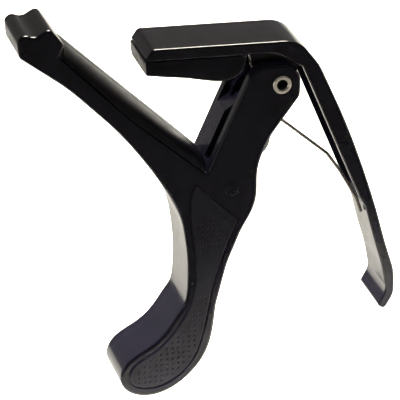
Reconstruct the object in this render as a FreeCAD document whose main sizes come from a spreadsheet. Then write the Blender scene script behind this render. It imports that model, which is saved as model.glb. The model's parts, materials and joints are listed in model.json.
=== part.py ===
import FreeCAD, Part
import math
import os

# A spring-closed trigger capo for a guitar. The flat profile of every piece lies in the
# XZ plane and is drawn about the pivot; the front face looks towards -Y. The finished
# capo stands on its foot and on the end of its lever, with +Z up.

Vector = FreeCAD.Vector
UP = Vector(0, 1, 0)

doc = FreeCAD.newDocument("capo")
sheet = doc.addObject("Spreadsheet::Sheet", "Sizes")

SIZES = [
    # alias, millimetres or degrees, what it is
    ("body_width", 15.5, "frame, front to back"),
    ("body_round", 0.8, "rounding of the frame's long edges"),
    ("slot_width", 9.9, "gap between the fork's cheeks"),
    ("recess_width", 3.3, "recess beside the front cheek, in the jaw side of the web"),
    ("cheek_top_radius", 5.1, "round top of the cheeks about the pivot"),
    ("lever_width", 15.0, "lever, front to back"),
    ("lever_round", 0.6, "rounding of the lever's outer edges"),
    ("channel_width", 11.8, "lever channel between its two flanges"),
    ("lug_width", 9.2, "over both lugs of the lever"),
    ("lug_gap", 4.8, "between the two lugs"),
    ("hub_radius", 4.3, "lever lugs about the pivot"),
    ("hub_bore", 2.15, "radius of the lugs' bore"),
    ("sleeve_radius", 2.1, "sleeve that the lugs turn on"),
    ("sleeve_length", 9.86, "sleeve, cheek to cheek"),
    ("eyelet_hole", 1.25, "radius of the hole through the eyelet"),
    ("eyelet_shank", 1.75, "radius of the eyelet's tube"),
    ("eyelet_head", 2.4, "radius of the eyelet's rolled head"),
    ("eyelet_proud", 0.6, "head above the cheek"),
    ("fit_gap", 0.03, "radial clearance of fixed pins and tubes"),
    ("washer_thickness", 0.3, "thrust washer"),
    ("washer_radius", 4.0, "thrust washer, outside"),
    ("pin_radius", 1.15, "shank of the spring's anchor pin"),
    ("pin_head", 1.9, "head radius of the anchor pin"),
    ("pin_proud", 0.45, "head of the anchor pin above the cheek"),
    ("wire_radius", 0.42, "spring wire"),
    ("coil_radius", 4.9, "spring coil, to the middle of the wire"),
    ("coil_length", 8.6, "spring coil, front to back"),
    ("leg_depth", 3.5, "spring legs, from the middle plane"),
    ("grip_depth", 0.6, "recess of the grip inlays"),
    ("grip_gap", 0.5, "groove round the grip inlays"),
    ("pad_round", 1.8, "rounding of the string pad's top"),
    ("neck_pad_round", 0.7, "rounding of the neck pad"),
    ("tongue_width", 11.6, "tongue of the neck pad in the channel"),
    ("stop_gap", 0.04, "lever's stop nose above the web at rest"),
    ("stance_angle", 0.0, "turn about Y that stands the capo up"),
    ("pivot_x", 0.0, "pivot from the middle of the length"),
    ("pivot_height", 0.0, "pivot above the floor"),
]

for row, (alias, value, note) in enumerate(SIZES, start=1):
    sheet.set(f"A{row}", alias)
    sheet.set(f"B{row}", str(value))
    sheet.set(f"C{row}", note)
    sheet.setAlias(f"B{row}", alias)
doc.recompute()


def size(alias):
    return float(sheet.get(alias))


# Places in the profile plane, as (x, z) from the pivot.
COIL_CENTRE = (-6.6, -15.6)
ANCHOR_PIN = (-12.5, -26.1)
LEVER_END = ((27.6, -64.6, 0.9), (25.7, -63.3, 0.8))
SEAT = ((-54.7, 13.2), (-37.2, -5.25), (-18.65, -21.57))
SEAT_RADIUS = 200.0
PAD_TOP = ((-52.95, 15.45), (-18.25, -18.15))
GRIP_EDGE = ((-21.6, -23.2), (-10.4, -34.6), (-12.6, -39.6), (-14.85, -45.9),
             (-16.7, -51.5), (-17.75, -57.2), (-19.0, -63.2), (-20.9, -69.6),
             (-24.2, -74.4), (-29.0, -77.6), (-34.0, -78.3), (-37.9, -76.7),
             (-38.9, -74.0), (-37.5, -71.2), (-32.3, -67.9), (-28.1, -64.0),
             (-24.5, -58.9), (-22.3, -52.3), (-22.0, -44.5), (-22.9, -36.3),
             (-23.3, -30.8), (-22.9, -26.4))
WEB_OUTSIDE = ((-15.98, -19.86), (0.404, 0.915))
WEB_THICKNESS = 1.4
STOP_DIRECTION = (-0.845, -0.534)


class Outline:
    """A closed profile of straight runs, rounded corners and smooth curves.

    Runs join the corners and curves in order, and each run is tangent to the arc or
    curve at either end of it. A corner with no radius stays sharp.
    """

    def __init__(self):
        self.items = []

    def corner(self, x, z, radius=0.0):
        self.items.append(([Vector(x, z, 0)], radius))
        return self

    def curve(self, *points):
        self.items.append(([Vector(x, z, 0) for x, z in points], None))
        return self

    def piece(self, number):
        """The ends of one item, and its arc or curve if it has one."""
        points, radius = self.items[number]
        before = self.items[number - 1][0][-1]
        after = self.items[(number + 1) % len(self.items)][0][0]
        if radius is None:
            spline = Part.BSplineCurve()
            spline.interpolate(Points=points, InitialTangent=points[0] - before,
                               FinalTangent=after - points[-1])
            return points[0], points[-1], spline
        point = points[0]
        if radius == 0.0:
            return point, point, None
        back, forth = (before - point).normalize(), (after - point).normalize()
        half_angle = back.getAngle(forth) / 2
        setback = radius / math.tan(half_angle)
        start, end = point + back * setback, point + forth * setback
        inward = (back + forth).normalize()
        middle = point + inward * (radius / math.sin(half_angle) - radius)
        return start, end, Part.Arc(start, middle, end)

    def curves(self):
        pieces = [self.piece(number) for number in range(len(self.items))]
        result = []
        for (_, end, shape), (start, _, _) in zip(pieces, pieces[1:] + pieces[:1]):
            if shape:
                result.append(shape)
            if end.distanceToPoint(start) > 1e-6:
                result.append(Part.LineSegment(end, start))
        return result


def circle(x, z, radius):
    return Part.Circle(Vector(x, z, 0), Vector(0, 0, 1), radius)


def ray(point, direction, distance):
    return point[0] + direction[0] * distance, point[1] + direction[1] * distance


def stand(thing):
    """Turn and lift a sub-part from the pivot's frame to the capo's own frame."""
    thing.Placement = FreeCAD.Placement(Vector(), FreeCAD.Rotation(UP, 1.0))
    thing.setExpression("Placement.Rotation.Angle", "Sizes.stance_angle")
    thing.setExpression("Placement.Base.x", "Sizes.pivot_x")
    thing.setExpression("Placement.Base.z", "Sizes.pivot_height")


def new_body(label):
    body = doc.addObject("PartDesign::Body", label)
    body.Label = label
    stand(body)
    return body


def plane(body, role):
    return next(f for f in body.Origin.OriginFeatures if f.Role == role)


def sketch(body, name, curves, depth="0 mm", role="XZ_Plane"):
    """Draw curves on a plane of the body; depth moves it towards -Y."""
    result = body.newObject("Sketcher::SketchObject", name)
    result.AttachmentSupport = [(plane(body, role), "")]
    result.MapMode = "FlatFace"
    result.setExpression("AttachmentOffset.Base.z", depth)
    for curve in curves:
        result.addGeometry(curve, False)
    doc.recompute()
    return result


def volume(body):
    return body.Shape.Volume if not body.Shape.isNull() else 0.0


def feature(body, kind, name, profile, length, both_ways=True, reverse=False):
    """Pad or pocket a sketch, and make sure that it changed the solid."""
    before = volume(body)
    result = body.newObject(f"PartDesign::{kind}", name)
    result.Profile = profile
    result.Midplane = both_ways
    result.Reversed = reverse
    result.setExpression("Length", length)
    profile.Visibility = False
    doc.recompute()
    change = volume(body) - before
    wrong = change <= 0 if kind == "Pad" else change >= 0
    if wrong:
        raise RuntimeError(f"{body.Label}.{name} changed the volume by {change:.3f}")
    return result


def round_edges(body, name, base, edges, radius):
    result = body.newObject("PartDesign::Fillet", name)
    result.Base = (base, edges)
    result.setExpression("Radius", radius)
    doc.recompute()
    if "Invalid" in result.State or result.Shape.isNull() or not result.Shape.isValid():
        raise RuntimeError(f"{body.Label}.{name} failed")
    return result


def edges_on_sides(shape, half_width, wanted=lambda x, z: True):
    """Names of the edges in the front and back faces whose middle is wanted."""
    names = []
    for number, edge in enumerate(shape.Edges, start=1):
        box = edge.BoundBox
        if box.YLength > 1e-4 or abs(abs(box.YMin) - half_width) > 1e-4:
            continue
        first, last = edge.ParameterRange
        middle = edge.valueAt((first + last) / 2)
        if wanted(middle.x, middle.z):
            names.append(f"Edge{number}")
    return names


def frame_outline():
    cheek = size("cheek_top_radius")
    path = Outline()
    # end stop and seat of the string pad, then the corner under the fork
    path.corner(-53.3, 15.9, 1.0).corner(*SEAT[0], 0.5)
    path.corner(*SEAT[1], SEAT_RADIUS).corner(*SEAT[2], 0.6)
    # cheek of the fork, rounded over the pivot
    path.corner(-6.9, 4.9, 4.4).corner(cheek, cheek, cheek).corner(4.75, -3.6, 3.0)
    # right-hand edge of the fork and of the handle
    path.curve((-1.1, -11.5), (-4.7, -18.2), (-5.8, -22.6), (-6.1, -29.6), (-7.65, -33.9),
               (-10.65, -39.6))
    path.corner(-13.4, -46.4, 20.0)
    # foot, and the hollow side of the handle
    path.curve((-15.85, -56.0), (-16.75, -62.2), (-19.1, -70.6), (-23.6, -76.2),
               (-29.2, -79.6), (-35.3, -80.1), (-39.4, -77.9), (-40.7, -74.8),
               (-39.8, -71.5), (-36.9, -68.8), (-33.1, -66.6), (-29.1, -63.1),
               (-25.7, -58.3), (-23.6, -52.0))
    path.corner(-23.2, -44.5, 60.0)
    # lower edge of the jaw
    path.curve((-24.4, -36.3), (-27.4, -27.6), (-33.5, -17.6), (-41.8, -6.85), (-48.25, -0.05),
               (-55.55, 6.8))
    # tip with the notch of the pin puller
    path.corner(-64.3, 13.7, 1.5).corner(-65.0, 20.4, 1.9).corner(-60.4, 18.6, 2.5)
    path.corner(-56.8, 20.7, 1.5)
    return path.curves()


def slot_outline():
    """The hollow between the cheeks, behind the web and above it."""
    origin, along = WEB_OUTSIDE
    across = (along[1], -along[0])
    path = Outline().corner(*ray((0, 0), STOP_DIRECTION, 16.0))
    path.corner(*ray((0, 0), STOP_DIRECTION, 9.33))
    path.corner(*ray(origin, across, WEB_THICKNESS), 4.0)
    path.corner(-15.6, -29.6, 2.0).corner(2.0, -29.6)
    path.corner(8.0, 8.0).corner(-14.0, 8.0)
    return path.curves()


def recess_outline():
    """The recess in the jaw side of the web."""
    path = Outline().corner(-19.5, -19.0).corner(*WEB_OUTSIDE[0], 0.6)
    path.corner(*ray((0, 0), STOP_DIRECTION, 11.84))
    path.corner(*ray((0, 0), STOP_DIRECTION, 16.0))
    return path.curves()


def grip_outline(inset=0.0):
    """Edge of the grip panel, drawn in by the inset all the way round."""
    points = [Vector(x, z, 0) for x, z in GRIP_EDGE]
    moved = []
    for number, point in enumerate(points):
        into = (point - points[number - 1]).normalize()
        out = (points[(number + 1) % len(points)] - point).normalize()
        first, second = Vector(into.y, -into.x, 0), Vector(out.y, -out.x, 0)
        shift = (first + second) * (inset / (1 + first.dot(second)))
        moved.append((point.x + shift.x, point.y + shift.y))
    path = Outline().corner(*moved[0], 0.8).corner(*moved[1], 0.8).curve(*moved[2:])
    return path.curves()


def make_main_frame():
    body = new_body("main_frame")
    profile = sketch(body, "frame_profile", frame_outline())
    solid = feature(body, "Pad", "frame_solid", profile, "Sizes.body_width")
    half = size("body_width") / 2
    sides = edges_on_sides(solid.Shape, half)
    round_edges(body, "frame_rounding", solid, sides, "Sizes.body_round")
    slot = sketch(body, "slot_profile", slot_outline())
    feature(body, "Pocket", "fork_slot", slot, "Sizes.slot_width")
    recess = sketch(body, "recess_profile", recess_outline(), "Sizes.slot_width / 2")
    feature(body, "Pocket", "web_recess", recess, "Sizes.recess_width", both_ways=False)
    hole = sketch(body, "pivot_circle", [circle(0, 0, size("eyelet_shank") + size("fit_gap"))])
    feature(body, "Pocket", "pivot_hole", hole, "Sizes.body_width * 2")
    pin = sketch(body, "pin_circle", [circle(*ANCHOR_PIN, size("pin_radius") + size("fit_gap"))])
    feature(body, "Pocket", "pin_hole", pin, "Sizes.body_width * 2")
    for side, depth in (("front", "Sizes.body_width / 2"), ("back", "-Sizes.body_width / 2")):
        recess = sketch(body, f"grip_{side}_profile", grip_outline(), depth)
        feature(body, "Pocket", f"grip_{side}_recess", recess, "Sizes.grip_depth",
                both_ways=False, reverse=side == "back")
    return body


def make_grip(side):
    """A thin inlay that leaves a narrow groove all round in its recess."""
    body = new_body(f"grip_{side}")
    clear = 0.02
    front = side == "front"
    depth = f"{'' if front else '-'}(Sizes.body_width / 2 - {clear})"
    profile = sketch(body, "inlay_profile", grip_outline(size("grip_gap")), depth)
    feature(body, "Pad", "inlay", profile, f"Sizes.grip_depth - {2 * clear}",
            both_ways=False, reverse=front)
    return body


def lever_outline():
    path = Outline()
    # end and top of the bar, over the bend
    path.corner(-34.1, 9.35, 0.7).corner(-32.0, 12.4, 1.3).corner(4.3, 10.85, 8.0)
    # outer edge of the handle and its curled end
    path.curve((8.75, 5.1), (11.2, 0.5), (15.7, -9.8), (20.4, -22.3), (25.1, -37.1),
               (28.65, -49.8), (30.05, -56.7))
    path.corner(30.0, -60.6, 5.0)
    for x, z, radius in LEVER_END:
        path.corner(x, z, radius)
    path.corner(27.9, -59.3, 4.0).curve((27.1, -54.7), (24.5, -44.9))
    path.corner(22.0, -35.6, 1.0).corner(20.5, -33.0, 1.5)
    # hollow that clears the top of the cheeks, then the lower edge of the bar
    path.curve((5.6, 3.4), (4.6, 4.15), (3.1, 5.1), (0.7, 6.75), (-2.1, 7.95), (-5.2, 8.25))
    return path.curves()


def channel_outline():
    """Inside of the lever: under the bar, round the bend and down the handle."""
    path = Outline().corner(-31.4, 3.0).corner(-31.4, 9.9, 0.4).corner(-30.5, 10.9, 0.4)
    path.curve((-0.2, 9.7), (3.9, 8.0), (7.0, 4.3), (9.3, -0.1), (14.15, -10.4),
               (19.1, -22.8), (21.9, -32.2))
    path.corner(22.3, -33.8, 0.6).corner(21.2, -36.6).corner(14.0, -32.0)
    path.corner(0.0, 0.0).corner(-8.0, 3.0)
    return path.curves()


def lug_outline():
    hub = size("hub_radius")
    across = (STOP_DIRECTION[1], -STOP_DIRECTION[0])
    lifted = ray((0, 0), across, size("stop_gap"))
    path = Outline().corner(-7.9, 10.4).corner(2.6, 9.6).corner(6.0, 6.7)
    path.corner(hub, 0.5).corner(hub, -hub, hub)
    path.corner(*ray(lifted, STOP_DIRECTION, 3.0), 1.0)
    path.corner(*ray(lifted, STOP_DIRECTION, 11.6)).corner(-9.2, -3.4, 0.8)
    path.corner(-6.2, 0.4, 1.5).corner(-6.6, 4.5, 1.5)
    return path.curves()


def make_trigger_lever():
    body = new_body("trigger_lever")
    profile = sketch(body, "lever_profile", lever_outline())
    solid = feature(body, "Pad", "lever_solid", profile, "Sizes.lever_width")
    half = size("lever_width") / 2

    round_edges(body, "lever_rounding", solid, edges_on_sides(solid.Shape, half),
                "Sizes.lever_round")
    channel = sketch(body, "channel_profile", channel_outline())
    feature(body, "Pocket", "channel", channel, "Sizes.channel_width")
    lugs = sketch(body, "lug_profile", lug_outline())
    feature(body, "Pad", "lugs", lugs, "Sizes.lug_width")
    gap = Outline().corner(-12.0, -7.6).corner(5.3, -7.6).corner(5.3, 5.0)
    gap.corner(2.4, 7.9).corner(-8.4, 8.6).corner(-12.0, 3.0)
    between = sketch(body, "lug_gap_profile", gap.curves())
    feature(body, "Pocket", "lug_gap", between, "Sizes.lug_gap")
    bore = sketch(body, "bore_circle", [circle(0, 0, size("hub_bore"))])
    feature(body, "Pocket", "lug_bore", bore, "Sizes.lever_width")
    return body


def make_string_pad():
    """Rubber string bar, thicker towards the fork, seated along the jaw."""
    body = new_body("string_pad")
    lift, corner_gap = 0.03, 0.6
    seat = [Vector(x + lift, z + lift, 0) for x, z in SEAT]
    first = seat[0] + (seat[1] - seat[0]).normalize() * corner_gap
    last = seat[2] + (seat[1] - seat[2]).normalize() * corner_gap
    path = Outline().corner(first.x, first.y).corner(*PAD_TOP[0]).corner(*PAD_TOP[1])
    path.corner(-17.85, -19.45).corner(last.x, last.y)
    path.corner(seat[1].x, seat[1].y, SEAT_RADIUS)
    profile = sketch(body, "pad_profile", path.curves())
    solid = feature(body, "Pad", "pad_solid", profile, "Sizes.body_width")

    def on_top(x, z):
        return x + z > -39.0 and -50.0 < x < -20.0

    round_edges(body, "pad_rounding", solid,
                edges_on_sides(solid.Shape, size("body_width") / 2, on_top),
                "Sizes.pad_round")
    return body


def make_neck_pad():
    """Rubber pad under the lever's bar, held by a tongue in the channel."""
    body = new_body("neck_pad")
    path = Outline().corner(-33.85, 9.28).corner(-33.5, 5.35)
    path.curve((-31.6, 5.1), (-28.1, 4.5), (-23.6, 3.75), (-19.5, 2.8), (-14.6, 1.95),
               (-12.3, 2.3), (-9.9, 3.9), (-8.9, 6.6))
    path.corner(-8.7, 8.15)
    profile = sketch(body, "pad_profile", path.curves())
    solid = feature(body, "Pad", "pad_solid", profile, "Sizes.lever_width")

    def below(x, z):
        return z < 7.9 and x > -32.0

    round_edges(body, "pad_rounding", solid,
                edges_on_sides(solid.Shape, size("lever_width") / 2, below),
                "Sizes.neck_pad_round")
    tongue = Outline().corner(-31.1, 8.9).corner(-31.1, 9.8).corner(-30.3, 10.7)
    tongue.corner(-9.0, 9.95).corner(-9.0, 7.6)
    insert = sketch(body, "tongue_profile", tongue.curves())
    feature(body, "Pad", "tongue", insert, "Sizes.tongue_width")
    return body


def turned(label, profile, place=(0, 0)):
    """A piece turned about an axis along Y; the profile is drawn as (y, radius)."""
    body = new_body(label)
    section = body.newObject("Sketcher::SketchObject", "half_section")
    section.AttachmentSupport = [(plane(body, "YZ_Plane"), "")]
    section.MapMode = "FlatFace"
    section.AttachmentOffset = FreeCAD.Placement(Vector(0, place[1], place[0]),
                                                 FreeCAD.Rotation())
    for curve in profile:
        section.addGeometry(curve, False)
    doc.recompute()
    spin = body.newObject("PartDesign::Revolution", "turned")
    spin.Profile = section
    spin.ReferenceAxis = (section, ["H_Axis"])
    spin.Angle = 360.0
    doc.recompute()
    return body


def make_pivot_eyelet():
    half = size("body_width") / 2
    proud = size("eyelet_proud")
    hole, shank, head = size("eyelet_hole"), size("eyelet_shank"), size("eyelet_head")
    seat = half + size("fit_gap")
    rolled = 0.45
    path = Outline().corner(-seat, shank).corner(-seat, head, 0.1)
    path.corner(-half - proud, head, rolled).corner(-half - proud, hole, rolled)
    path.corner(half + proud, hole, rolled).corner(half + proud, head, rolled)
    path.corner(seat, head, 0.1).corner(seat, shank)
    return turned("pivot_eyelet", path.curves())


def make_pivot_sleeve():
    half = size("sleeve_length") / 2
    inner = size("eyelet_shank") + size("fit_gap")
    outer = size("sleeve_radius")
    path = Outline().corner(-half, inner).corner(-half, outer)
    path.corner(half, outer).corner(half, inner)
    return turned("pivot_sleeve", path.curves())


def make_thrust_washer(side):
    sign = -1 if side == "front" else 1
    gap = (size("slot_width") - size("lug_width")) / 2 - size("washer_thickness")
    start = sign * (size("lug_width") / 2 + gap * 0.6)
    end = start + sign * size("washer_thickness")
    inner = size("sleeve_radius") + size("fit_gap")
    outer = size("washer_radius")
    path = Outline().corner(start, inner).corner(start, outer)
    path.corner(end, outer).corner(end, inner)
    return turned(f"thrust_washer_{side}", path.curves())


def make_anchor_pin():
    half = size("body_width") / 2
    shank, head = size("pin_radius"), size("pin_head")
    top = half + size("pin_proud")
    seat = half + size("fit_gap")
    path = Outline().corner(-top, 0.0).corner(-top, head * 0.9, 0.4).corner(-seat, head)
    path.corner(-seat, shank).corner(seat, shank)
    path.corner(seat, head).corner(top, head * 0.9, 0.4).corner(top, 0.0)
    return turned("spring_anchor_pin", path.curves(), ANCHOR_PIN)


def wire_leg(name, points, depth):
    """A round wire along straight runs joined by small bends."""
    bend = 1.6
    places = [Vector(x, depth, z) for x, z in points]
    edges = []
    start = places[0]
    for before, corner, after in zip(places, places[1:], places[2:]):
        into = (corner - before).normalize()
        out = (after - corner).normalize()
        turn = into.getAngle(out)
        setback = bend * math.tan(turn / 2)
        first, last = corner - into * setback, corner + out * setback
        inward = (out - into).normalize()
        middle = corner + inward * (bend / math.cos(turn / 2) - bend)
        edges.append(Part.LineSegment(start, first).toShape())
        edges.append(Part.Arc(first, middle, last).toShape())
        start = last
    edges.append(Part.LineSegment(start, places[-1]).toShape())
    spine = doc.addObject("Part::Feature", f"{name}_path")
    spine.Shape = Part.Wire(edges)
    ring = doc.addObject("Part::Circle", f"{name}_section")
    ring.setExpression("Radius", "Sizes.wire_radius")
    heading = FreeCAD.Rotation(Vector(0, 0, 1), places[1] - places[0])
    ring.Placement = FreeCAD.Placement(places[0], heading)
    doc.recompute()
    leg = doc.addObject("Part::Sweep", name)
    leg.Sections = [ring]
    leg.Spine = (spine, [f"Edge{n}" for n in range(1, len(edges) + 1)])
    leg.Solid = True
    leg.Transition = "Right corner"
    doc.recompute()
    return leg


def cylinder(name, radius, length):
    """A cylinder along Y round the coil's centre."""
    result = doc.addObject("Part::Cylinder", name)
    result.setExpression("Radius", radius)
    result.setExpression("Height", length)
    result.Placement.Rotation = FreeCAD.Rotation(Vector(0, 0, 1), Vector(0, 1, 0))
    result.Placement.Base = Vector(COIL_CENTRE[0], 0, COIL_CENTRE[1])
    result.setExpression("Placement.Base.y", f"-({length}) / 2")
    return result


def make_torsion_spring():
    """Closed coil as one ring, a long leg to the lever and a short one to the pin."""
    outside = cylinder("coil_outside", "Sizes.coil_radius + Sizes.wire_radius",
                       "Sizes.coil_length")
    inside = cylinder("coil_inside", "Sizes.coil_radius - Sizes.wire_radius",
                      "Sizes.coil_length + 2")
    coil = doc.addObject("Part::Cut", "coil")
    coil.Base, coil.Tool = outside, inside
    x, z = COIL_CENTRE
    mean, depth = size("coil_radius"), size("leg_depth")
    long_leg = wire_leg("long_leg", [(x, z + mean), (0.8, z + mean), (12.99, -21.5),
                                     (16.5, -26.8), (20.9, -34.7), (22.1, -38.4)], -depth)
    beside_pin = size("pin_radius") + size("wire_radius") + 0.05
    short_leg = wire_leg("short_leg", [(x - mean, z), (x - mean, z - 6.0),
                                       (ANCHOR_PIN[0] + beside_pin, ANCHOR_PIN[1]),
                                       (ANCHOR_PIN[0] + beside_pin + 0.3, -28.7)], depth)
    spring = doc.addObject("Part::MultiFuse", "torsion_spring")
    spring.Label = "torsion_spring"
    spring.Shapes = [coil, long_leg, short_leg]
    stand(spring)
    doc.recompute()
    return spring


def true_box(parts):
    box = FreeCAD.BoundBox()
    for part in parts:
        for point in part.Shape.tessellate(0.03)[0]:
            box.add(point)
    return box


def lowest(points, degrees):
    """Lowest height of the points after a turn of the given angle about Y."""
    angle = math.radians(degrees)
    return min(point.z * math.cos(angle) - point.x * math.sin(angle) for point in points)


def set_stance(frame, lever, parts):
    """Stand the capo on its foot and lever end, with its middle over the origin."""
    foot = frame.Shape.tessellate(0.03)[0]
    end = lever.Shape.tessellate(0.03)[0]
    low, high = 5.0, 30.0
    while high - low > 1e-4:
        middle = (low + high) / 2
        if lowest(end, middle) > lowest(foot, middle):
            low = middle
        else:
            high = middle
    sheet.set("stance_angle", f"{low:.4f}")
    doc.recompute()
    box = true_box(parts)
    sheet.set("pivot_x", f"{-box.Center.x:.4f}")
    sheet.set("pivot_height", f"{-box.ZMin:.4f}")
    doc.recompute()


main_frame = make_main_frame()
trigger_lever = make_trigger_lever()
parts = [
    main_frame,
    trigger_lever,
    make_grip("front"),
    make_grip("back"),
    make_string_pad(),
    make_neck_pad(),
    make_pivot_eyelet(),
    make_pivot_sleeve(),
    make_thrust_washer("front"),
    make_thrust_washer("back"),
    make_anchor_pin(),
    make_torsion_spring(),
]
set_stance(main_frame, trigger_lever, parts)

for item in doc.Objects:
    if "Invalid" in item.State or "Error" in item.State:
        raise RuntimeError(f"{item.Label} did not compute: {item.State}")

os.makedirs("parts", exist_ok=True)
for part in parts:
    if part.Shape.isNull() or not part.Shape.isValid():
        raise RuntimeError(f"{part.Label} has no valid shape")
    print(f"{part.Label:22} solids {len(part.Shape.Solids)} volume {part.Shape.Volume:9.2f}")
    part.Shape.exportStep(f"parts/{part.Label}.step")
total = true_box(parts)
print(f"stance {size('stance_angle'):.3f} deg, pivot at {size('pivot_x'):.3f}, "
      f"{size('pivot_height'):.3f}")
print(f"overall {total.XLength:.2f} x {total.YLength:.2f} x {total.ZLength:.2f} mm")
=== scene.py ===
import json
import math

import bmesh
import bpy
from mathutils import Matrix, Vector
from mathutils.geometry import delaunay_2d_cdt


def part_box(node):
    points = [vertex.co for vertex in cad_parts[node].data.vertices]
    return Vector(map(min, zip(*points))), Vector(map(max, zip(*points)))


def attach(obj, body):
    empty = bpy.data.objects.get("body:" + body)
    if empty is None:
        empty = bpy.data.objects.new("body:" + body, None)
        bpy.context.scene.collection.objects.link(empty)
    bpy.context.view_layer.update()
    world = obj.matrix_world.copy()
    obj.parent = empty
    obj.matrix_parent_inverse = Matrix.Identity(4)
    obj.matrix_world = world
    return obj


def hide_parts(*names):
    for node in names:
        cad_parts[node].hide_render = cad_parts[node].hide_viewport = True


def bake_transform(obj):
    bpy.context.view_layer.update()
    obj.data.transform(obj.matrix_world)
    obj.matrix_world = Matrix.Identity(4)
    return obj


# A glossy black trigger capo. Lengths in the tables below are millimetres from the pivot,
# drawn with the capo upright as (x, z), and placed() turns them into metres in the row's frame.

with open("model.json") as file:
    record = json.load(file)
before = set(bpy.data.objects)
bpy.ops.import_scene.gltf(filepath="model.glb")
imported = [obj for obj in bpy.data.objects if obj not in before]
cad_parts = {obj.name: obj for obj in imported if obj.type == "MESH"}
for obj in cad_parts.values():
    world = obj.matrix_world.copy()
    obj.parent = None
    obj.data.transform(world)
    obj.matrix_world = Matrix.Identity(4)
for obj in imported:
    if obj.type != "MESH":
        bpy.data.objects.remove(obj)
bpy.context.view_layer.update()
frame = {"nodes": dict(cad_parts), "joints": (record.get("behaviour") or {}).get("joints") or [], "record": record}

MM = 0.001
PAD_TOP = ((-52.95, 15.45), (-18.25, -18.15))    # string pad's flat top, tip end first
HALF_BODY = 7.75                                 # half the width of the frame
HALF_LEVER = 7.5                                 # half the width of the lever's bar

mounts = {mount["name"]: mount for mount in frame["record"]["mounts"]}
PIVOT = Vector(frame["joints"][0]["pos_m"])
bar_normal = mounts["string_bar_face"]["axis"]
top_run = Vector(PAD_TOP[1]) - Vector(PAD_TOP[0])
STANCE = math.atan2(top_run.x, -top_run.y) - math.atan2(bar_normal[2], bar_normal[0])
STAND = Matrix.Translation(PIVOT) @ Matrix.Rotation(STANCE, 4, "Y")


def placed(x, z, y=0.0):
    """A point of the drawing, in metres in the row's frame."""
    return STAND @ (Vector((x, y, z)) * MM)


# ---------------------------------------------------------------- materials

def new_material(name):
    material = bpy.data.materials.new(name)
    material.use_nodes = True
    return material, material.node_tree.nodes, material.node_tree.links


def noise(nodes, links, scale, detail=3.0, roughness=0.5):
    coordinates = nodes.new("ShaderNodeTexCoord")
    texture = nodes.new("ShaderNodeTexNoise")
    texture.inputs["Scale"].default_value = scale
    texture.inputs["Detail"].default_value = detail
    texture.inputs["Roughness"].default_value = roughness
    links.new(coordinates.outputs["Object"], texture.inputs["Vector"])
    return texture


def spread(nodes, links, source, low, high, start=0.35, end=0.65):
    """Map a texture's middle range on to values from low to high."""
    ramp = nodes.new("ShaderNodeMapRange")
    ramp.inputs["From Min"].default_value = start
    ramp.inputs["From Max"].default_value = end
    ramp.inputs["To Min"].default_value = low
    ramp.inputs["To Max"].default_value = high
    links.new(source.outputs["Fac"], ramp.inputs["Value"])
    return ramp


def colour_between(nodes, links, source, dark, light, start=0.35, end=0.65):
    ramp = nodes.new("ShaderNodeValToRGB")
    ramp.color_ramp.elements[0].position = start
    ramp.color_ramp.elements[0].color = (*dark, 1)
    ramp.color_ramp.elements[1].position = end
    ramp.color_ramp.elements[1].color = (*light, 1)
    links.new(source.outputs["Fac"], ramp.inputs["Fac"])
    return ramp


def bump(nodes, links, shader, source, strength, distance):
    node = nodes.new("ShaderNodeBump")
    node.inputs["Strength"].default_value = strength
    node.inputs["Distance"].default_value = distance
    links.new(source.outputs["Fac"], node.inputs["Height"])
    links.new(node.outputs["Normal"], shader.inputs["Normal"])


def black_paint():
    material, nodes, links = new_material("black_gloss_paint")
    shader = nodes["Principled BSDF"]
    mottle = noise(nodes, links, 90.0, 4.0)
    tint = colour_between(nodes, links, mottle, (0.0032, 0.0030, 0.0066), (0.0052, 0.0049, 0.0098))
    links.new(tint.outputs["Color"], shader.inputs["Base Color"])
    smears = noise(nodes, links, 260.0, 5.0, 0.6)
    gloss = spread(nodes, links, smears, 0.17, 0.23)
    links.new(gloss.outputs["Result"], shader.inputs["Roughness"])
    shader.inputs["Specular IOR Level"].default_value = 0.14
    shader.inputs["Coat Weight"].default_value = 0.05
    shader.inputs["Coat Roughness"].default_value = 0.08
    shader.inputs["Coat IOR"].default_value = 1.5
    peel = noise(nodes, links, 900.0, 2.0)
    bump(nodes, links, shader, peel, 0.05, 0.00008)
    return material


def grip_plastic():
    material, nodes, links = new_material("grip_satin_black")
    shader = nodes["Principled BSDF"]
    mottle = noise(nodes, links, 160.0, 4.0)
    tint = colour_between(nodes, links, mottle, (0.0038, 0.0036, 0.0078), (0.0062, 0.0058, 0.0118))
    links.new(tint.outputs["Color"], shader.inputs["Base Color"])
    gloss = spread(nodes, links, noise(nodes, links, 420.0, 4.0), 0.34, 0.44)
    links.new(gloss.outputs["Result"], shader.inputs["Roughness"])
    shader.inputs["Specular IOR Level"].default_value = 0.14
    bump(nodes, links, shader, noise(nodes, links, 2600.0, 2.0), 0.12, 0.00005)
    return material


def pad_rubber():
    material, nodes, links = new_material("pad_rubber_dark")
    shader = nodes["Principled BSDF"]
    mottle = noise(nodes, links, 120.0, 4.0)
    tint = colour_between(nodes, links, mottle, (0.0018, 0.0016, 0.0038), (0.0034, 0.0030, 0.0062))
    links.new(tint.outputs["Color"], shader.inputs["Base Color"])
    gloss = spread(nodes, links, noise(nodes, links, 350.0, 4.0), 0.36, 0.46)
    links.new(gloss.outputs["Result"], shader.inputs["Roughness"])
    shader.inputs["Specular IOR Level"].default_value = 0.10
    bump(nodes, links, shader, noise(nodes, links, 1800.0, 3.0), 0.10, 0.00006)
    return material


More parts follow.
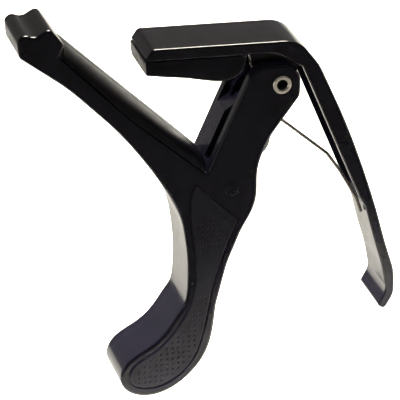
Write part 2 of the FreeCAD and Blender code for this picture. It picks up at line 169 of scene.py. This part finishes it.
def bright_metal(name, dark, light, low, high, brushing):
    material, nodes, links = new_material(name)
    shader = nodes["Principled BSDF"]
    shader.inputs["Metallic"].default_value = 1.0
    grain = noise(nodes, links, brushing, 3.0)
    tint = colour_between(nodes, links, grain, dark, light)
    links.new(tint.outputs["Color"], shader.inputs["Base Color"])
    gloss = spread(nodes, links, noise(nodes, links, brushing * 1.7, 4.0), low, high)
    links.new(gloss.outputs["Result"], shader.inputs["Roughness"])
    bump(nodes, links, shader, grain, 0.04, 0.00005)
    return material


def nylon():
    material, nodes, links = new_material("washer_nylon_white")
    shader = nodes["Principled BSDF"]
    tint = colour_between(nodes, links, noise(nodes, links, 500.0), (0.66, 0.64, 0.58),
                          (0.75, 0.73, 0.68))
    links.new(tint.outputs["Color"], shader.inputs["Base Color"])
    shader.inputs["Roughness"].default_value = 0.45
    return material


PAINT = black_paint()
GRIP = grip_plastic()
RUBBER = pad_rubber()
NICKEL = bright_metal("bright_nickel", (0.60, 0.55, 0.47), (0.74, 0.69, 0.60), 0.10, 0.18, 900.0)
SPRING = bright_metal("spring_wire_steel", (0.060, 0.052, 0.048), (0.12, 0.105, 0.095), 0.26, 0.38,
                      1500.0)
STEEL = bright_metal("turned_steel", (0.40, 0.40, 0.40), (0.55, 0.54, 0.53), 0.25, 0.4, 1200.0)
NYLON = nylon()
# painted shade: a near-black brown metal that stands in for the shade inside the eyelet's bore
BORE_SHADE_PAINT = bright_metal("painted_shade_bore", (0.008, 0.004, 0.003), (0.016, 0.009, 0.006), 0.5, 0.65, 700.0)


def dress(node, material):
    mesh = frame["nodes"][node].data
    mesh.materials.clear()
    mesh.materials.append(material)


for node, material in (
    ("main_frame", PAINT), ("trigger_lever", PAINT), ("spring_anchor_pin", PAINT),
    ("string_pad", RUBBER), ("neck_pad", RUBBER), ("grip_front", GRIP), ("grip_back", GRIP),
    ("pivot_eyelet", NICKEL), ("pivot_sleeve", STEEL), ("torsion_spring", SPRING),
    ("thrust_washer_front", NYLON), ("thrust_washer_back", NYLON),
):
    dress(node, material)


def paint_bore_shade():
    """The inside of the tubular eyelet gets a dark painted shade; its rolled heads stay bright."""
    mesh = frame["nodes"]["pivot_eyelet"].data
    mesh.materials.append(BORE_SHADE_PAINT)
    bore = mounts["eyelet_hole"]["dims"]["r_mm"] * MM
    for polygon in mesh.polygons:
        away = polygon.center - PIVOT
        if math.hypot(away.x, away.z) < bore * 1.06:
            polygon.material_index = 1


paint_bore_shade()

# ---------------------------------------------------------------- mesh helpers

def new_piece(name, vertices, faces, material, crease, join=0.0):
    """A mesh object. Points closer than the join distance become one, and edges that turn
    by more than the crease angle stay sharp."""
    mesh = bpy.data.meshes.new(name)
    mesh.from_pydata([tuple(vertex) for vertex in vertices], [], faces)
    work = bmesh.new()
    work.from_mesh(mesh)
    if join:
        bmesh.ops.remove_doubles(work, verts=work.verts, dist=join)
    bmesh.ops.recalc_face_normals(work, faces=work.faces)
    work.to_mesh(mesh)
    work.free()
    mesh.materials.append(material)
    mesh.shade_smooth()
    mesh.set_sharp_from_angle(angle=math.radians(crease))
    piece = bpy.data.objects.new(name, mesh)
    bpy.context.scene.collection.objects.link(piece)
    return piece


def ring_faces(first, second, count):
    """Quads between two closed rings of the same count, by their first indices."""
    return [(first + i, first + (i + 1) % count, second + (i + 1) % count, second + i)
            for i in range(count)]


def curve_through(points, steps):
    """A smooth line through the points, with evenly many steps on each span."""
    ends = [points[0] * 2 - points[1], *points, points[-1] * 2 - points[-2]]
    line = []
    for a, b, c, d in zip(ends, ends[1:], ends[2:], ends[3:]):
        for step in range(steps):
            t = step / steps
            line.append((b * 2 + (c - a) * t + (a * 2 - b * 5 + c * 4 - d) * t ** 2
                         + (b * 3 - a - c * 3 + d) * t ** 3) / 2)
    return line + [points[-1]]


def area_of(loop):
    return sum(a.cross(b) for a, b in zip(loop, loop[1:] + loop[:1])) / 2


# ---------------------------------------------------------------- dimpled grips

DIMPLE_PITCH = 1.42
DIMPLE_RADIUS = 0.36
DIMPLE_DEPTH = 0.26
DIMPLE_WALL = (0.72, 0.75)          # shares of the radius and the depth where the wall ends
DIMPLE_SIDES = 10
RIM_CLEARANCE = 0.95                # from a dimple's centre to the panel's edge
RIM_STEP = 0.42                     # spacing of the points round the panel
RIM = ((0.0, -0.42), (0.03, -0.16), (0.12, -0.04), (0.26, 0.0), (0.40, 0.0))   # inset, height
PANEL_THICKNESS = 0.54
# the two dimpled areas, as (x from, x to), (z from, z to)
DIMPLED = (((-21.4, -13.2), (-42.2, -32.6)), ((-39.0, -16.0), (-77.5, -54.0)))


def face_outline(node, side):
    """The outline of a flat inlay's outer face, as drawn, anticlockwise."""
    work = bmesh.new()
    work.from_mesh(frame["nodes"][node].data)
    bmesh.ops.remove_doubles(work, verts=work.verts, dist=1e-6)
    flat = [face for face in work.faces if face.normal.y * side > 0.99]
    after = {}
    for face in flat:
        for loop in face.loops:
            if not any(other in flat for other in loop.edge.link_faces if other is not face):
                after[loop.vert] = loop.link_loop_next.vert
    start = next(iter(after))
    chain = [start]
    while after[chain[-1]] is not start:
        chain.append(after[chain[-1]])
    back = STAND.inverted()
    upright = [back @ vertex.co for vertex in chain]
    work.free()
    outline = [Vector((point.x, point.z)) / MM for point in upright]
    return outline if area_of(outline) > 0 else outline[::-1]


def resampled(loop, spacing):
    """The closed loop with points at an even spacing."""
    closed = loop + loop[:1]
    lengths = [(b - a).length for a, b in zip(closed, closed[1:])]
    total = sum(lengths)
    count = round(total / spacing)
    result, span, walked = [], 0, 0.0
    for number in range(count):
        goal = total * number / count
        while walked + lengths[span] < goal:
            walked += lengths[span]
            span += 1
        share = (goal - walked) / lengths[span]
        result.append(closed[span].lerp(closed[span + 1], share))
    return result


def drawn_in(loop, inset):
    """An anticlockwise loop moved inwards by the inset."""
    result = []
    for number, point in enumerate(loop):
        along = (loop[(number + 1) % len(loop)] - loop[number - 1]).normalized()
        result.append(point + Vector((-along.y, along.x)) * inset)
    return result


def inside(point, loop):
    crossings = 0
    for a, b in zip(loop, loop[1:] + loop[:1]):
        if (a.y > point.y) != (b.y > point.y):
            if point.x < a.x + (point.y - a.y) * (b.x - a.x) / (b.y - a.y):
                crossings += 1
    return crossings % 2 == 1


def dimple_places(outline):
    limit = drawn_in(outline, RIM_CLEARANCE)
    places = []
    for (x_low, x_high), (z_low, z_high) in DIMPLED:
        columns = int((x_high - x_low) / DIMPLE_PITCH)
        rows = int((z_high - z_low) / DIMPLE_PITCH)
        for row in range(rows + 1):
            for column in range(columns + 1):
                point = Vector((x_low + column * DIMPLE_PITCH, z_low + row * DIMPLE_PITCH))
                clear = min((point - edge).length for edge in outline) > RIM_CLEARANCE
                if clear and inside(point, limit):
                    places.append(point)
    return places


def pierced_face(rim, dimples, spokes):
    """Fill the rim with triangles, but leave every dimple open.

    Returns the points, the triangles and, for each dimple, which points go round its mouth.
    """
    points = list(rim)
    loops = [list(range(len(rim)))]
    for centre in dimples:
        loops.append(list(range(len(points), len(points) + DIMPLE_SIDES))[::-1])
        points.extend(centre + spoke * DIMPLE_RADIUS for spoke in spokes)
    field = delaunay_2d_cdt(points, [], loops, 1, 1e-7)
    used, triangles, origins = field[0], field[2], field[3]
    place = {source: number for number, sources in enumerate(origins) for source in sources}
    mouths = [[place[len(rim) + number * DIMPLE_SIDES + side] for side in range(DIMPLE_SIDES)]
              for number in range(len(dimples))]
    dimple_of = {corner: number for number, mouth in enumerate(mouths) for corner in mouth}

    def covers_a_dimple(triangle):
        touched = {dimple_of.get(corner) for corner in triangle}
        return len(touched) == 1 and None not in touched

    return used, [triangle for triangle in triangles if not covers_a_dimple(triangle)], mouths


def make_grip(node, side):
    """A panel with a rounded rim and rows of small round dimples."""
    outline = resampled(face_outline(node, side), RIM_STEP)
    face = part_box(node)[0 if side < 0 else 1].y / MM
    count = len(outline)
    vertices, faces = [], []

    def add(points, height):
        """Put the points at a height over the panel's face, and return the first one's number."""
        vertices.extend(placed(point.x, point.y, face + side * height) for point in points)
        return len(vertices) - len(points)

    rings = [add(drawn_in(outline, inset), height) for inset, height in RIM]
    for first, second in zip(rings, rings[1:]):
        faces.extend(ring_faces(first, second, count))
    dimples = dimple_places(outline)
    turns = [math.tau * number / DIMPLE_SIDES for number in range(DIMPLE_SIDES)]
    spokes = [Vector((math.cos(turn), math.sin(turn))) for turn in turns]
    points, triangles, mouths = pierced_face(drawn_in(outline, RIM[-1][0]), dimples, spokes)
    base = add(points, 0.0)
    faces.extend(tuple(base + corner for corner in triangle) for triangle in triangles)
    wall_radius, wall_depth = DIMPLE_RADIUS * DIMPLE_WALL[0], DIMPLE_DEPTH * DIMPLE_WALL[1]
    for centre, mouth in zip(dimples, mouths):
        wall = add([centre + spoke * wall_radius for spoke in spokes], -wall_depth)
        bottom = add([centre], -DIMPLE_DEPTH)
        for this in range(DIMPLE_SIDES):
            following = (this + 1) % DIMPLE_SIDES
            faces.append((base + mouth[this], base + mouth[following], wall + following, wall + this))
            faces.append((wall + this, wall + following, bottom))
    back = add(outline, -PANEL_THICKNESS)
    faces.extend(ring_faces(back, rings[0], count))
    faces.append(tuple(range(back, back + count)))
    piece = new_piece(f"{node}_panel", vertices, faces, GRIP, crease=35.0, join=1e-7)
    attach(piece, "frame")
    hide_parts(node)


# ---------------------------------------------------------------- rubber pads

SHOULDER_STEPS = 10
CROWN_POWER = 2.4
# how a pad's end is rounded: shares of the rounding along it and in from its sides, and of height
PAD_END = ((0.0, 1.0, 0.62), (0.12, 0.45, 0.86), (0.35, 0.16, 0.96))
STRING_PAD_SEAT = ((-54.15, 12.85), (-46.0, 4.2), (-37.15, -5.2), (-27.5, -13.65),
                   (-18.95, -21.25))
STRING_PAD_RELIEF = 0.04            # how far each pad's side is in from the metal's side
NECK_PAD_RELIEF = 0.03
NECK_PAD_SEAT = ((-33.8, 9.3), (-8.75, 8.25))
NECK_PAD_FACE = ((-33.5, 5.35), (-31.0, 5.0), (-27.6, 4.4), (-23.6, 3.75), (-19.5, 2.8),
                 (-15.6, 2.05), (-12.6, 2.2), (-10.2, 3.6), (-9.1, 5.9))


def drawn(place):
    return Vector((place[0], 0, place[1]))


def straight_between(start, end, spans):
    return [start.lerp(end, number / spans) for number in range(spans + 1)]


def cushion_section(half, height, shoulder, crown):
    """A bar's section as (y, height): flat sides, round shoulders and a low crown."""
    points = [(-half, 0.0)]
    for number in range(SHOULDER_STEPS + 1):
        turn = math.pi / 2 * number / SHOULDER_STEPS
        y = -half + shoulder[0] * (1 - math.cos(turn))
        points.append((y, height - crown - shoulder[1] * (1 - math.sin(turn))))
    side = [(-y, z) for y, z in reversed(points)]
    inner = half - shoulder[0]
    for number in range(1, SHOULDER_STEPS):
        y = -inner + 2 * inner * number / SHOULDER_STEPS
        points.append((y, height - crown * (abs(y) / inner) ** CROWN_POWER))
    return points + side


def loft(name, bases, tips, half, shoulder, crown, end_round):
    """A rubber bar with cushion sections from the bases to the tips, rounded at both ends."""
    def end_stations(base, tip, towards):
        step = (towards - base).normalized() * end_round
        return [(base + step * along, tip + step * along, narrower * end_round, tall)
                for along, narrower, tall in PAD_END]

    middle = [(base, tip, 0.0, 1.0) for base, tip in zip(bases, tips)
              if (base - bases[0]).length > end_round and (base - bases[-1]).length > end_round]
    start = end_stations(bases[0], tips[0], bases[1])
    end = end_stations(bases[-1], tips[-1], bases[-2])
    rows = []
    for base, tip, narrower, tall in start + middle + end[::-1]:
        up = tip - base
        section = cushion_section(half - narrower, up.length * tall, shoulder, crown)
        rows.append([base + up.normalized() * z + Vector((0, y, 0)) for y, z in section])
    count = len(rows[0])
    last = (len(rows) - 1) * count
    vertices = [STAND @ (point * MM) for row in rows for point in row]
    faces = [tuple(range(count)), tuple(range(last, last + count))]
    for first in range(0, last, count):
        faces.extend(ring_faces(first, first + count, count))
    return new_piece(name, vertices, faces, RUBBER, crease=50.0)


def make_string_pad():
    """Rubber bar from the end stop down to the fork."""
    seat = curve_through([drawn(place) for place in STRING_PAD_SEAT], steps=6)
    top = straight_between(drawn(PAD_TOP[0]), drawn(PAD_TOP[1]), len(seat) - 1)
    pad = loft("string_pad_rubber", seat, top, half=HALF_BODY - STRING_PAD_RELIEF, shoulder=(6.2, 2.3),
               crown=0.15, end_round=0.7)
    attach(pad, "frame")
    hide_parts("string_pad")


def make_neck_pad():
    """Short rubber pad under the lever's bar, fullest beside the fork."""
    face = curve_through([drawn(place) for place in NECK_PAD_FACE], steps=3)
    seat = straight_between(drawn(NECK_PAD_SEAT[0]), drawn(NECK_PAD_SEAT[1]), len(face) - 1)
    pad = loft("neck_pad_rubber", seat, face, half=HALF_LEVER - NECK_PAD_RELIEF, shoulder=(1.1, 0.9),
               crown=0.10, end_round=0.25)
    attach(pad, "lever")
    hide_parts("neck_pad")


# ---------------------------------------------------------------- torsion spring

WIRE_RADIUS = 0.42
COIL_CENTRE = (-6.6, -15.6)
COIL_RADIUS = 4.9
COIL_TURNS = 6.25
STEPS_PER_TURN = 28
LEG_DEPTH = 3.5                     # each leg's distance from the middle of the capo
LEG_BEND = 1.6                      # radius of the legs' bends
LONG_LEG = ((-6.6, -10.7), (0.8, -10.7), (12.99, -21.5), (16.5, -26.8), (20.9, -34.7),
            (22.1, -38.4))
SHORT_LEG_DROP = 6.0                # from the coil's side straight down to the first bend
SHORT_LEG_END = -28.7
SHORT_LEG_LEAN = 0.3                # how far the leg leans out below the pin
PIN_RADIUS = 1.15
PIN_GAP = 0.05


def rounded_run(points, bend, steps=6):
    """A run of straight lines with each corner turned on a small arc."""
    line = [points[0]]
    for before, corner, after in zip(points, points[1:], points[2:]):
        into, out = (corner - before).normalized(), (after - corner).normalized()
        setback = bend * math.tan(into.angle(out) / 2)
        start, end = corner - into * setback, corner + out * setback
        for step in range(steps + 1):
            t = step / steps
            line.append(start.lerp(corner, t).lerp(corner.lerp(end, t), t))
    return line + [points[-1]]


def coil_points():
    """The close-wound helix, from the long leg's side of the capo to the short leg's."""
    x, z = COIL_CENTRE
    steps = round(COIL_TURNS * STEPS_PER_TURN)
    points = []
    for step in range(1, steps):
        angle = math.pi / 2 + math.tau * COIL_TURNS * step / steps
        depth = -LEG_DEPTH + 2 * LEG_DEPTH * step / steps
        points.append(Vector((x + COIL_RADIUS * math.cos(angle), depth,
                              z + COIL_RADIUS * math.sin(angle))))
    return points


def short_leg_points():
    """From the coil's side down to the anchor pin, which it bears on."""
    low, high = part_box("spring_anchor_pin")
    pin = STAND.inverted() @ ((low + high) / 2) / MM
    start = COIL_CENTRE[0] - COIL_RADIUS
    beside_pin = pin.x + PIN_RADIUS + WIRE_RADIUS + PIN_GAP
    corners = ((start, COIL_CENTRE[1]), (start, COIL_CENTRE[1] - SHORT_LEG_DROP),
               (beside_pin, pin.z), (beside_pin + SHORT_LEG_LEAN, SHORT_LEG_END))
    return rounded_run([Vector((x, LEG_DEPTH, z)) for x, z in corners], LEG_BEND)


def wire_mesh(route):
    """A round wire of the spring's radius along the route."""
    data = bpy.data.curves.new("spring_route", "CURVE")
    data.dimensions = "3D"
    data.bevel_depth = WIRE_RADIUS * MM
    data.bevel_resolution = 4
    data.use_fill_caps = True
    spline = data.splines.new("POLY")
    spline.points.add(len(route) - 1)
    for point, place in zip(spline.points, route):
        point.co = (*(STAND @ (place * MM)), 1)
    wire = bpy.data.objects.new("spring_route", data)
    bpy.context.scene.collection.objects.link(wire)
    bpy.context.view_layer.update()
    mesh = bpy.data.meshes.new_from_object(wire.evaluated_get(
        bpy.context.evaluated_depsgraph_get()))
    bpy.data.objects.remove(wire)
    mesh.name = "spring_wire"
    mesh.materials.clear()
    mesh.materials.append(SPRING)
    mesh.shade_smooth()
    mesh.set_sharp_from_angle(angle=math.radians(50.0))
    return mesh


def make_spring():
    """Close-wound wire coil, a long leg to the lever and a short one to the anchor pin."""
    long_leg = rounded_run([Vector((x, -LEG_DEPTH, z)) for x, z in LONG_LEG], LEG_BEND)
    route = long_leg[::-1] + coil_points() + short_leg_points()
    spring = bpy.data.objects.new("spring_wire", wire_mesh(route))
    bpy.context.scene.collection.objects.link(spring)
    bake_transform(spring)
    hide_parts("torsion_spring")


make_grip("grip_front", -1)
make_grip("grip_back", 1)
make_string_pad()
make_neck_pad()
make_spring()


# ---------------------------------------------------------------- camera and light

CAMERA_AZIMUTH = math.radians(-15.6)
CAMERA_ELEVATION = math.radians(25.2)
CAMERA_DISTANCE = 833.0
CAMERA_TARGET = (-18.305, -31.886)     # as drawn, in the middle of the capo's width
CAMERA_LENS = 305.9


def add_camera():
    """A long lens; the capo is seen as drawn upright, so the camera rolls by the stance."""
    right = Vector((math.cos(CAMERA_AZIMUTH), math.sin(CAMERA_AZIMUTH), 0))
    back = Vector((math.sin(CAMERA_AZIMUTH) * math.cos(CAMERA_ELEVATION),
                   -math.cos(CAMERA_AZIMUTH) * math.cos(CAMERA_ELEVATION),
                   math.sin(CAMERA_ELEVATION)))
    up = back.cross(right)
    target = Vector((CAMERA_TARGET[0], 0, CAMERA_TARGET[1]))
    turn = Matrix((right, up, back)).transposed().to_4x4()
    place = Matrix.Translation((target + back * CAMERA_DISTANCE) * MM)
    data = bpy.data.cameras.new("photo_camera")
    data.lens = CAMERA_LENS
    data.sensor_width = 36.0
    data.clip_start = 0.05
    camera = bpy.data.objects.new("photo_camera", data)
    camera.matrix_world = STAND @ place @ turn
    bpy.context.scene.collection.objects.link(camera)
    bpy.context.scene.camera = camera


FLOOR_SIDE = 3.0                       # half the floor's side, in metres
WARM = (1.0, 0.94, 0.82)
SHADE, GLOW = 0.10, 0.42               # the studio's brightness in front of the capo and behind


def add_area(name, place, target, size, power, colour, spread_degrees=180):
    data = bpy.data.lights.new(name, "AREA")
    data.shape = "RECTANGLE"
    data.size, data.size_y = size
    data.energy = power
    data.color = colour
    data.spread = math.radians(spread_degrees)
    light = bpy.data.objects.new(name, data)
    light.location = place
    light.rotation_euler = (Vector(target) - Vector(place)).to_track_quat("-Z", "Y").to_euler()
    bpy.context.scene.collection.objects.link(light)
    return light


def add_floor():
    material, nodes, links = new_material("pale_floor")
    shader = nodes["Principled BSDF"]
    tint = colour_between(nodes, links, noise(nodes, links, 6.0), (0.90, 0.90, 0.90),
                          (0.93, 0.93, 0.93))
    links.new(tint.outputs["Color"], shader.inputs["Base Color"])
    shader.inputs["Roughness"].default_value = 0.9
    mesh = bpy.data.meshes.new("floor")
    corners = [(-FLOOR_SIDE, -FLOOR_SIDE, 0), (FLOOR_SIDE, -FLOOR_SIDE, 0),
               (FLOOR_SIDE, FLOOR_SIDE, 0), (-FLOOR_SIDE, FLOOR_SIDE, 0)]
    mesh.from_pydata(corners, [], [(0, 1, 2, 3)])
    mesh.materials.append(material)
    floor = bpy.data.objects.new("floor", mesh)
    bpy.context.scene.collection.objects.link(floor)


def add_world():
    """A warm white studio, brighter behind the capo than in front of it."""
    world = bpy.data.worlds.new("studio")
    world.use_nodes = True
    nodes, links = world.node_tree.nodes, world.node_tree.links
    background = nodes["Background"]
    coordinates = nodes.new("ShaderNodeTexCoord")
    parts = nodes.new("ShaderNodeSeparateXYZ")
    links.new(coordinates.outputs["Generated"], parts.inputs["Vector"])
    ramp = nodes.new("ShaderNodeMapRange")
    ramp.inputs["From Min"].default_value = -1.0
    ramp.inputs["From Max"].default_value = 1.0
    ramp.inputs["To Min"].default_value = SHADE
    ramp.inputs["To Max"].default_value = GLOW
    links.new(parts.outputs["Y"], ramp.inputs["Value"])
    links.new(ramp.outputs["Result"], background.inputs["Strength"])
    background.inputs["Color"].default_value = (1.0, 0.955, 0.90, 1)
    bpy.context.scene.world = world


def set_colours():
    """Plain display colours keep the black deep and the studio white."""
    bpy.context.scene.view_settings.view_transform = "Standard"
    bpy.context.scene.view_settings.look = "None"


def add_lights():
    """A gridded softbox for the floor behind the capo, a strip at the left, and a high light
    behind for the bright line along the upper edges."""
    floor_light = add_area("floor_light", (0.13, 0.434, 0.45), (0.13, 0.164, 0.0), (0.44, 0.34),
                           3.3, WARM, spread_degrees=5)
    floor_light.data.use_shadow = False
    floor_light.visible_glossy = False
    add_area("left_strip", (-0.50, -0.18, 0.20), (0, 0, 0.05), (0.06, 0.24), 0.35, WARM)
    edge_light = add_area("edge_light", (0.28, 0.19, 0.59), (0, 0, 0.08), (0.16, 0.40),
                          9.0, WARM, spread_degrees=90)
    edge_light.visible_diffuse = False


set_colours()
add_camera()
add_world()
add_floor()
add_lights()
